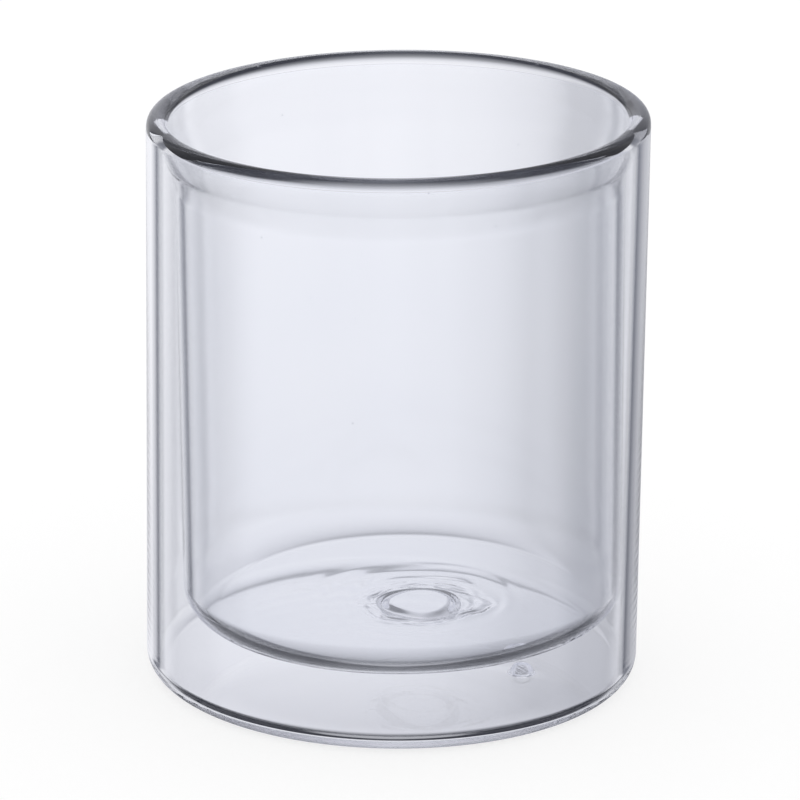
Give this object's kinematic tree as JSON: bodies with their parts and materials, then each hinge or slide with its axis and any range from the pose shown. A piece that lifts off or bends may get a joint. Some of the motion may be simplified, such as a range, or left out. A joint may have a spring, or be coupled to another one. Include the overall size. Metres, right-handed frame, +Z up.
{
  "type": "double walled glass tumbler",
  "caption": "Straight double walled glass tumbler: an outer shell and an inner liner joined at a rounded lip, with a sealed air gap and a sealed vent in the base.",
  "frame": {"origin": "centre of the base, on the table that the cup stands on", "axes": "+Z up along the cup's axis, the viewer stands at -Y, the liner's foot stands off towards +X"},
  "size_m": [0.08, 0.08, 0.0943],
  "materials": {
    "shell_glass": "clear, fire polished",
    "liner_glass": "clear, fire polished, faint spin rings on the floor",
    "lip_glass": "clear, fused and fire polished",
    "drop_glass": "clear drop, glossy"
  },
  "bodies": {
    "root": {"outer_shell": "shell_glass", "inner_liner": "liner_glass", "lip_seam": "lip_glass", "vent_seal": "drop_glass"}
  },
  "joints": []
}
